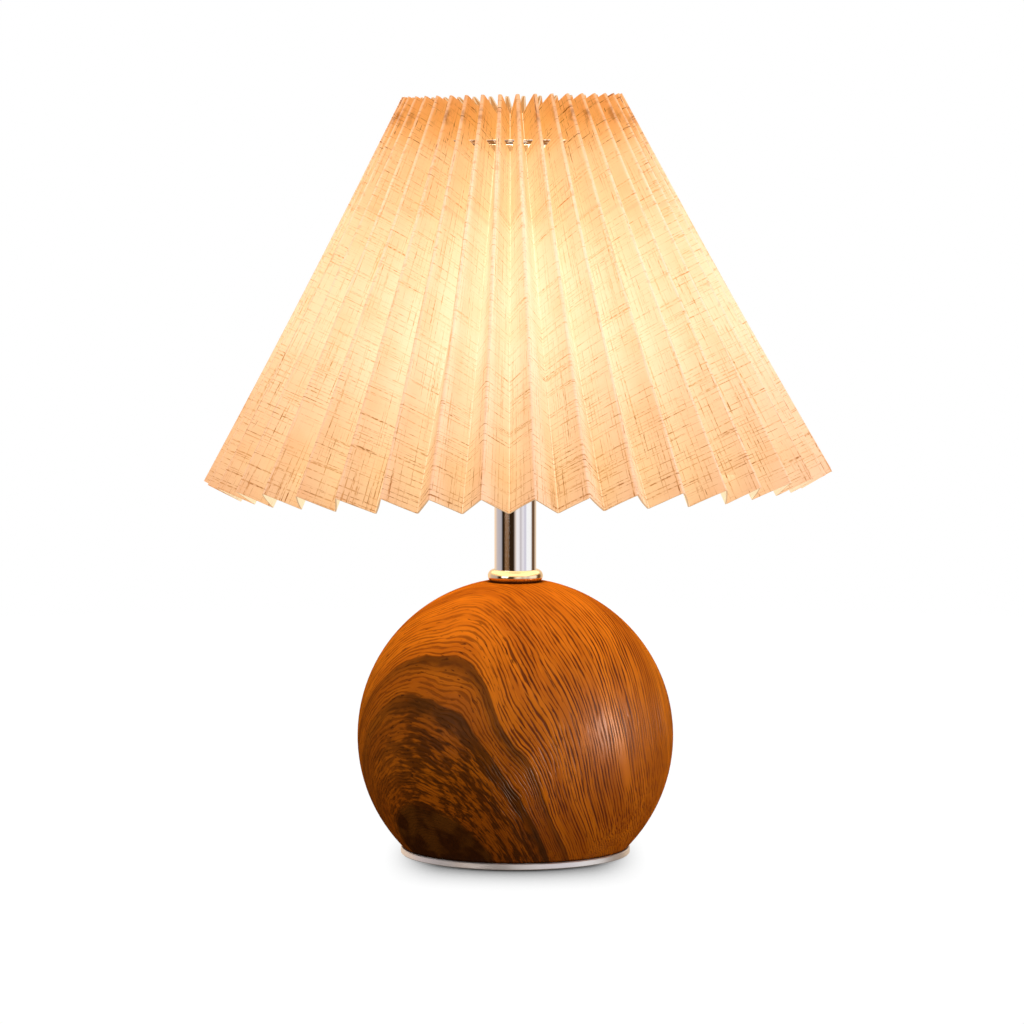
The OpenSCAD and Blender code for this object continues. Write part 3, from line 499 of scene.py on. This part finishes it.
def cast_material(name, colour):
    made, g = new_material(name)
    place = g.place()
    lumps = g.noise(place, 420.0, 4.0, 0.6)
    tint = g.mix(g.step(lumps, 0.3, 0.7), tuple(0.6 * v for v in colour), colour)
    g.finish(g.surface(Base_Color=tint, Metallic=0.6, Roughness=0.75, Normal=g.bump(lumps, 0.0004, 0.6)))
    return made


# Plastics, felt and glass

def moulded_material(name, colour, rough, relief=0.00005):
    made, g = new_material(name)
    place = g.place()
    texture = g.noise(place, 2200.0, 2.0, 0.6)
    cloud = g.noise(place, 60.0, 3.0, 0.5)
    tint = g.mix(g.step(cloud, 0.35, 0.75), colour, tuple(0.88 * v for v in colour))
    shine = g.step(texture, 0.2, 0.8, rough - 0.06, rough + 0.06)
    g.finish(g.surface(Base_Color=tint, Roughness=shine, Normal=g.bump(texture, relief, 0.35)))
    return made


def felt_material():
    made, g = new_material("felt")
    place = g.place()
    fibres = g.noise(place, 900.0, 3.0, 0.7)
    tufts = g.noise(place, 260.0, 3.0, 0.6)
    tint = g.ramp(fibres, [(0.25, (0.010, 0.009, 0.008)), (0.75, (0.055, 0.050, 0.046))])
    tint = g.mix(g.times(g.step(tufts, 0.45, 0.75), 0.4), tint, (0.03, 0.028, 0.026))
    relief = g.bump(fibres, 0.0003, 0.8)
    g.finish(g.surface(Base_Color=tint, Roughness=0.95, Normal=relief, Sheen_Weight=0.3))
    return made


def glass_material(name, colour):
    """Clear bulb glass: a thin wall that lets the lamp's light through."""
    made, g = new_material(name)
    film = g.noise(g.place(), 90.0, 3.0, 0.6)
    shell = g.surface(Base_Color=colour, Roughness=g.step(film, 0.3, 0.8, 0.02, 0.10), IOR=1.5,
                      Transmission_Weight=1.0, Normal=g.bump(film, 0.00003, 0.2))
    clear = g.node("ShaderNodeBsdfTransparent")
    path = g.node("ShaderNodeLightPath")
    both = g.node("ShaderNodeMixShader")
    g.put(both.inputs[0], path.outputs["Is Shadow Ray"])
    g.put(both.inputs[1], shell)
    g.put(both.inputs[2], clear.outputs[0])
    g.finish(both.outputs[0])
    return made


def filament_material():
    made, g = new_material("filament")
    grain = g.noise(g.place(), 1700.0, 2.0, 0.6)
    tint = g.ramp(grain, [(0.3, (0.90, 0.55, 0.18)), (0.7, (1.0, 0.78, 0.36))])
    g.finish(g.surface(Base_Color=tint, Roughness=0.6, Normal=g.bump(grain, 0.0001, 0.3),
                       Emission_Color=tint, Emission_Strength=6.0))
    return made


# Pleated sheet of the shade

def fold_line(down, inner):
    """Radius and height of a ridge fold, or of a valley fold, at a distance down the fold."""
    ridge_radius = SHADE_TOP_RADIUS + down * math.sin(LEAN)
    ridge_height = SHADE_TOP_HEIGHT - down * math.cos(LEAN)
    if not inner:
        return ridge_radius, ridge_height
    # The panel's width joins the two folds: solve for the depth of the pleat
    lean = math.cos(LEAN)
    low, high = 0.0, PLEAT_WIDTH
    for _ in range(40):
        depth = (low + high) / 2
        radius = ridge_radius - depth * lean
        gap_x = ridge_radius - radius * math.cos(HALF_PITCH)
        gap_y = radius * math.sin(HALF_PITCH)
        gap_z = depth * math.sin(LEAN)
        if gap_x ** 2 + gap_y ** 2 + gap_z ** 2 > PLEAT_WIDTH ** 2:
            high = depth
        else:
            low = depth
    return ridge_radius - depth * lean, ridge_height - depth * math.sin(LEAN)


def half_section(down, ridge_turn, valley_turn, ridge_push, valley_push):
    """Ridge arc and valley arc of half a pleat at one distance down, as points with outward normals."""
    out_ridge = Vector((math.cos(LEAN) * math.cos(ridge_turn), math.cos(LEAN) * math.sin(ridge_turn),
                        math.sin(LEAN)))
    out_valley = Vector((math.cos(LEAN) * math.cos(valley_turn), math.cos(LEAN) * math.sin(valley_turn),
                         math.sin(LEAN)))
    side = 1.0 if valley_turn > ridge_turn else -1.0
    along_ridge = Vector((-math.sin(ridge_turn), math.cos(ridge_turn), 0)) * side
    along_valley = Vector((-math.sin(valley_turn), math.cos(valley_turn), 0)) * side
    radius, height = fold_line(down, False)
    radius += ridge_push
    ridge = Vector((radius * math.cos(ridge_turn), radius * math.sin(ridge_turn), height))
    radius, height = fold_line(down, True)
    radius += valley_push
    valley = Vector((radius * math.cos(valley_turn), radius * math.sin(valley_turn), height))
    panel = valley - ridge
    ridge_angle = math.atan2(abs(panel.dot(along_ridge)), abs(panel.dot(out_ridge)))
    valley_angle = math.atan2(abs(panel.dot(along_valley)), abs(panel.dot(out_valley)))
    points = []
    centre = ridge - out_ridge * FOLD_RADIUS
    swing = math.pi / 2 - ridge_angle
    for step in range(ARC_STEPS + 1):
        angle = swing * step / ARC_STEPS
        normal = out_ridge * math.cos(angle) + along_ridge * math.sin(angle)
        points.append((centre + normal * FOLD_RADIUS, normal))
    centre = valley + out_valley * FOLD_RADIUS
    swing = math.pi / 2 - valley_angle
    arc = []
    for step in range(ARC_STEPS, -1, -1):
        angle = swing * step / ARC_STEPS
        away = out_valley * -math.cos(angle) - along_valley * math.sin(angle)
        arc.append((centre + away * FOLD_RADIUS, -away))
    return points, arc


def shade_sheet():
    """Closed pleated sheet, with a level slot punched through each valley fold."""
    chance = random.Random(FOLD_SEED)
    turns = [chance.uniform(-1, 1) for _ in range(2 * PLEAT_COUNT)]
    pushes = [chance.uniform(-1, 1) for _ in range(2 * PLEAT_COUNT)]
    bows = [chance.uniform(-1, 1) for _ in range(2 * PLEAT_COUNT)]
    rise = [chance.uniform(-1, 1) for _ in range(2 * PLEAT_COUNT)]

    half_arc = FOLD_RADIUS * FOLD_SWING
    corner = 1 - SLOT_CORNER_START
    hole_shares = [SLOT_CORNER_START * k / SLOT_SIDE_ROWS for k in range(SLOT_SIDE_ROWS + 1)]
    hole_shares += [1 - corner * (1 - k / SLOT_CORNER_ROWS) ** 2 for k in range(1, SLOT_CORNER_ROWS + 1)]
    hole_levels = [HOLE_FROM_TOP + HOLE_HEIGHT * share for share in hole_shares]
    levels = ROWS_ABOVE_SLOT + hole_levels + ROWS_BELOW_SLOT
    long_start = ROWS_BELOW_SLOT[-1]
    levels += [long_start + (FOLD_LENGTH - long_start) * k / LONG_ROWS for k in range(1, LONG_ROWS + 1)]
    first_hole = len(ROWS_ABOVE_SLOT)
    last_hole = first_hole + len(hole_levels) - 1

    middle = Matrix.Translation((0, 0, HANG_HEIGHT))
    hang = middle @ Matrix.Rotation(HANG_TURN, 4, "Y") @ middle.inverted()
    half = ARC_STEPS + PANEL_STEPS + ARC_STEPS
    columns = 2 * half
    total = columns * PLEAT_COUNT
    vertices = []
    flats = []
    index = {}
    for level, down in enumerate(levels):
        far = down / FOLD_LENGTH
        wobble = math.radians(TURN_WAVER + TURN_WAVER_GAIN * far)
        push = PUSH_WAVER + PUSH_WAVER_GAIN * far
        for pleat in range(PLEAT_COUNT):
            for half_side in (0, 1):
                ridge_fold = 2 * ((pleat + half_side) % PLEAT_COUNT)
                valley_fold = 2 * pleat + 1
                ridge_turn = FIRST_RIDGE + 2 * HALF_PITCH * (pleat + half_side)
                ridge_turn += turns[ridge_fold] * wobble
                valley_turn = FIRST_RIDGE + HALF_PITCH * (2 * pleat + 1) + turns[valley_fold] * wobble
                rim = down + rise[valley_fold] * RIM_WAVER * far
                if first_hole <= level <= last_hole:
                    # The slots keep to the level of the ring
                    sideways = fold_line(down, True)[0] * math.cos(valley_turn)
                    rim += sideways * math.sin(-HANG_TURN) / math.cos(LEAN)
                sag = SAG * math.sin(math.pi * far)
                points, arc = half_section(rim, ridge_turn, valley_turn, pushes[ridge_fold] * push - sag,
                                           pushes[valley_fold] * push - sag)
                start, end_point = points[-1], arc[0]
                in_hole = first_hole < level < last_hole
                reach = 1.0
                length = (end_point[0] - start[0]).length
                if in_hole:
                    part = hole_shares[level - first_hole]
                    share = part / SLOT_CORNER_START
                    if part >= SLOT_CORNER_START:
                        share = math.sqrt((1 - part) / corner)
                    reach = 1.0 - (HOLE_HALF_WIDTH - half_arc) * share / length
                bow = bows[2 * pleat + half_side] * PANEL_BOW * far
                line = list(points[:-1])
                places = [half_arc * k / ARC_STEPS for k in range(ARC_STEPS)]
                for k in range(PANEL_STEPS + 1):
                    part = reach * k / PANEL_STEPS
                    normal = start[1].lerp(end_point[1], part).normalized()
                    point = start[0].lerp(end_point[0], part)
                    point = point + normal * (bow * math.sin(math.pi * part))
                    line.append((point, normal))
                    places.append(half_arc + (PLEAT_WIDTH - 2 * half_arc) * part)
                line += arc[1:]
                arc_start = PLEAT_WIDTH - half_arc
                places += [arc_start + half_arc * k / ARC_STEPS for k in range(1, ARC_STEPS + 1)]
                for k, ((point, normal), place) in enumerate(zip(line, places)):
                    column = pleat * columns + (k if half_side == 0 else columns - k)
                    if half_side == 1 and (k == half or k == 0):
                        continue
                    if half_side == 1:
                        place = 2 * PLEAT_WIDTH - place
                    across = 2 * PLEAT_WIDTH * pleat + place
                    for layer, shift in ((0, SHEET_THICKNESS / 2), (1, -SHEET_THICKNESS / 2)):
                        index[layer, level, column] = len(vertices)
                        vertices.append(hang @ (point + normal * shift))
                        flats.append((across, rim))

    faces = []
    kinds = []
    corners = []

    def face(kind, *keys):
        faces.append([index[layer, level, column % total] for layer, level, column in keys])
        kinds.append(kind)
        spots = []
        for layer, level, column in keys:
            across, down = flats[index[layer, level, column % total]]
            spots.append((across + (2 * PLEAT_WIDTH * PLEAT_COUNT if column >= total else 0.0), down))
        corners.append(spots)

    def cut(level, column):
        inner = column % columns
        return first_hole <= level < last_hole and half - ARC_STEPS <= inner < half + ARC_STEPS

    for level in range(len(levels) - 1):
        below = level + 1
        for column in range(total):
            after = column + 1
            if not cut(level, column):
                face(OUTSIDE, (0, level, column), (0, below, column), (0, below, after), (0, level, after))
                face(INSIDE, (1, level, column), (1, level, after), (1, below, after), (1, below, column))
            elif column % columns == half - ARC_STEPS:
                face(CUT_EDGE, (0, level, column), (0, below, column), (1, below, column),
                     (1, level, column))
            if cut(level, column) and column % columns == half + ARC_STEPS - 1:
                face(CUT_EDGE, (0, level, after), (1, level, after), (1, below, after), (0, below, after))
    last = len(levels) - 1
    for column in range(total):
        after = column + 1
        face(CUT_EDGE, (0, 0, column), (0, 0, after), (1, 0, after), (1, 0, column))
        face(CUT_EDGE, (0, last, column), (1, last, column), (1, last, after), (0, last, after))
        if half - ARC_STEPS <= column % columns < half + ARC_STEPS:
            face(CUT_EDGE, (0, first_hole, column), (1, first_hole, column), (1, first_hole, after),
                 (0, first_hole, after))
            face(CUT_EDGE, (0, last_hole, column), (0, last_hole, after), (1, last_hole, after),
                 (1, last_hole, column))

    # The points inside the slots belong to no face and are dropped
    used = sorted({number for made in faces for number in made})
    renumber = {old: new for new, old in enumerate(used)}
    kept = [vertices[old] for old in used]
    mesh = bpy.data.meshes.new("linen_shade")
    mesh.from_pydata(kept, [], [[renumber[number] for number in made] for made in faces])
    layer = mesh.uv_layers.new(name="flat")
    for made, spots in zip(mesh.polygons, corners):
        made.material_index = kinds[made.index]
        for loop, spot in zip(made.loop_indices, spots):
            layer.data[loop].uv = spot
    for material in (linen_material(), lining_material(), cut_edge_material()):
        mesh.materials.append(material)
    mesh.polygons.foreach_set("use_smooth", [True] * len(mesh.polygons))
    mesh.set_sharp_from_angle(angle=math.radians(50))
    made = bpy.data.objects.new("linen_shade", mesh)
    bpy.context.scene.collection.objects.link(made)
    return made


shade = shade_sheet()
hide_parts("pleated_shade")
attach(shade, "shade")


# Materials of the carried-over solids

finishes = {
    "felt": felt_material(),
    "foot_metal": turned_metal_material("foot_metal", (0.94, 0.91, 0.90)),
    "steel": plated_material("steel", (0.56, 0.57, 0.58), 0.30),
    "wood": wood_material(),
    "iron": cast_material("iron", (0.05, 0.05, 0.055)),
    "black_plastic": moulded_material("black_plastic", (0.012, 0.012, 0.012), 0.48),
    "brass": plated_material("brass", (0.95, 0.78, 0.52), 0.12, wear=0.15),
    "chrome": plated_material("chrome", (0.86, 0.86, 0.87), 0.07, wear=0.12),
    "white_plastic": moulded_material("white_plastic", (0.80, 0.78, 0.72), 0.42),
    "porcelain": moulded_material("porcelain", (0.84, 0.82, 0.78), 0.20, relief=0.00002),
    "contact_brass": plated_material("contact_brass", (0.70, 0.48, 0.20), 0.30, wear=0.4),
    # The carrier's warm brown tint is painted light of the glowing shade on its plated steel
    "carrier_steel": plated_material("carrier_steel", (0.52, 0.42, 0.33), 0.18, wear=0.3),
    "solder": plated_material("solder", (0.55, 0.55, 0.56), 0.45, wear=0.5),
    "black_glass": moulded_material("black_glass", (0.008, 0.008, 0.010), 0.16, relief=0.00002),
    "bulb_metal": plated_material("bulb_metal", (0.66, 0.66, 0.67), 0.32, wear=0.35),
    "bulb_glass": glass_material("bulb_glass", (0.98, 0.96, 0.92)),
    "filament": filament_material(),
}
for part in frame["record"]["subparts"]:
    finish = finishes.get(part["material_slot"])
    if finish is None:
        continue
    for place in nodes[part["node"]].material_slots:
        place.material = finish


# Floor, light and camera

def floor():
    """White table top whose soft shadow gathers under the ball."""
    made, g = new_material("floor_white")
    shut = g.node("ShaderNodeAmbientOcclusion", samples=12)
    g.put(shut.inputs["Distance"], 0.065)
    place = g.place()
    grain = g.noise(place, 140.0, 3.0, 0.5)
    # The painted shadow is cut off toward both sides, so it lies in front of the foot and behind it
    sideways = g.math("ABSOLUTE", g.split(place)[0])
    shade_depth = g.step(shut.outputs["AO"], 0.90, 0.10, 0.0, 0.85)
    shade_depth = g.times(shade_depth, g.step(sideways, 0.066, 0.034))
    open_sky = g.math("SUBTRACT", 1.02, shade_depth)
    tint = g.ramp(grain, [(0.3, (0.995, 0.995, 0.995)), (0.7, (1.0, 1.0, 1.0))])
    light = g.node("ShaderNodeEmission")
    g.put(light.inputs["Color"], tint)
    g.put(light.inputs["Strength"], open_sky)
    g.finish(light.outputs[0])
    bpy.ops.mesh.primitive_circle_add(vertices=96, radius=FLOOR_RADIUS, fill_type="NGON",
                                      location=(0, 0, 0))
    disc = bpy.context.object
    disc.name = "floor"
    disc.data.materials.append(made)
    disc.visible_glossy = False
    disc.visible_diffuse = False


def studio():
    world = bpy.data.worlds.new("studio")
    bpy.context.scene.world = world
    world.use_nodes = True
    g = Graph(world.node_tree)
    way = g.split(g.node("ShaderNodeTexCoord").outputs["Generated"])
    bearing = g.math("ARCTAN2", way[0], g.times(way[1], -1.0))
    turn = g.math("ADD", g.math("DIVIDE", bearing, 2 * math.pi), 0.5)

    def at(degrees):
        return degrees / 360.0 + 0.5

    walls = g.ramp(turn, [
        (at(-180), (1.00, 0.76, 0.54)), (at(-140), (1.00, 0.74, 0.52)), (at(-116), (0.62, 0.54, 0.54)),
        (at(-84), (0.52, 0.48, 0.50)), (at(-75), (0.02, 0.01, 0.005)), (at(-64), (0.03, 0.015, 0.006)),
        (at(-56), (0.28, 0.14, 0.06)), (at(-40), (0.24, 0.12, 0.05)), (at(-31), (0.03, 0.014, 0.005)),
        (at(-9), (0.03, 0.015, 0.006)), (at(1), (0.80, 0.66, 0.56)), (at(8), (1.00, 0.97, 0.96)),
        (at(20), (0.98, 0.94, 0.94)), (at(29), (0.60, 0.54, 0.55)), (at(42), (0.92, 0.88, 0.90)),
        (at(57), (0.66, 0.62, 0.72)), (at(67), (1.05, 1.05, 1.05)), (at(96), (1.05, 1.03, 1.00)),
        (at(107), (0.16, 0.08, 0.04)), (at(124), (0.14, 0.07, 0.03)), (at(142), (0.80, 0.60, 0.42)),
        (at(180), (1.00, 0.76, 0.54)),
    ])
    room = g.mix(g.step(way[2], 0.12, 0.55), walls, (0.62, 0.62, 0.62))
    room = g.mix(g.step(way[2], -0.16, -0.45), room, (0.20, 0.18, 0.16))
    path = g.node("ShaderNodeLightPath")
    seen = g.mix(path.outputs["Is Camera Ray"], room, (1.0, 1.0, 1.0))
    back = g.node("ShaderNodeBackground")
    g.put(back.inputs["Color"], seen)
    g.put(back.inputs["Strength"], 1.0)
    g.finish(back.outputs[0], "ShaderNodeOutputWorld")


def lamp_light(name, kind, place, energy, size, colour, target=None):
    """A light of the scene, aimed at a target where one is given."""
    light = bpy.data.lights.new(name, kind)
    light.energy = energy
    light.color = colour
    if kind == "AREA":
        light.size = size
    else:
        light.shadow_soft_size = size
    made = bpy.data.objects.new(name, light)
    made.location = place
    if target is not None:
        made.rotation_euler = (Vector(target) - Vector(place)).to_track_quat("-Z", "Y").to_euler()
    bpy.context.scene.collection.objects.link(made)
    return made


def light_only(light, piece, name):
    """Let a light reach one piece alone."""
    lit = bpy.data.collections.new(name)
    lit.objects.link(piece)
    light.light_linking.receiver_collection = lit


def camera():
    lens = bpy.data.cameras.new("camera")
    lens.sensor_width = SENSOR_WIDTH
    lens.lens = CAMERA_LENS
    lens.clip_start = 0.05
    lens.clip_end = 60.0
    made = bpy.data.objects.new("camera", lens)
    made.location = CAMERA_PLACE
    made.rotation_euler = (math.pi / 2 - CAMERA_DROP, 0, 0)
    bpy.context.scene.collection.objects.link(made)
    bpy.context.scene.camera = made


floor()
studio()
camera()
warm_white = (1.0, 0.97, 0.94)
lamp_light("bulb_light", "POINT", BULB_CENTRE, energy=0.9, size=0.028, colour=(1.0, 0.80, 0.54))
lamp_light("down_glow", "AREA", (0, 0, 0.19), energy=0.145, size=0.2, colour=(1.0, 0.82, 0.58),
           target=(0, 0, 0))
side_soft = lamp_light("side_soft", "AREA", (1.25, -0.45, 0.24), energy=3.4, size=0.30,
                       colour=warm_white, target=(0, 0, 0.08))
side_soft.visible_glossy = False
# The gleam on the ball's lacquer, and the light that pales the panels that face right
ball_gleam = lamp_light("ball_gleam", "AREA", (1.25, -0.45, 0.20), energy=60.0, size=0.30,
                        colour=warm_white, target=(0, 0, 0.08))
ball_gleam.visible_diffuse = False
light_only(ball_gleam, nodes["base_ball"], "lit_by_gleam")
shade_key = lamp_light("shade_key", "AREA", (1.25, -0.55, 0.45), energy=12.5, size=0.5,
                       colour=(0.94, 0.97, 1.0), target=(0, 0, 0.26))
light_only(shade_key, shade, "lit_by_key")
lamp_light("left_soft", "AREA", (-1.1, -1.1, 0.45), energy=5.4, size=0.8, colour=warm_white,
           target=(0, 0, 0.08))
lamp_light("overhead_soft", "AREA", (0.2, -1.0, 1.5), energy=6.0, size=1.0, colour=(1.0, 1.0, 1.0),
           target=(0, 0, 0.1))
bpy.context.scene.view_settings.view_transform = "Standard"
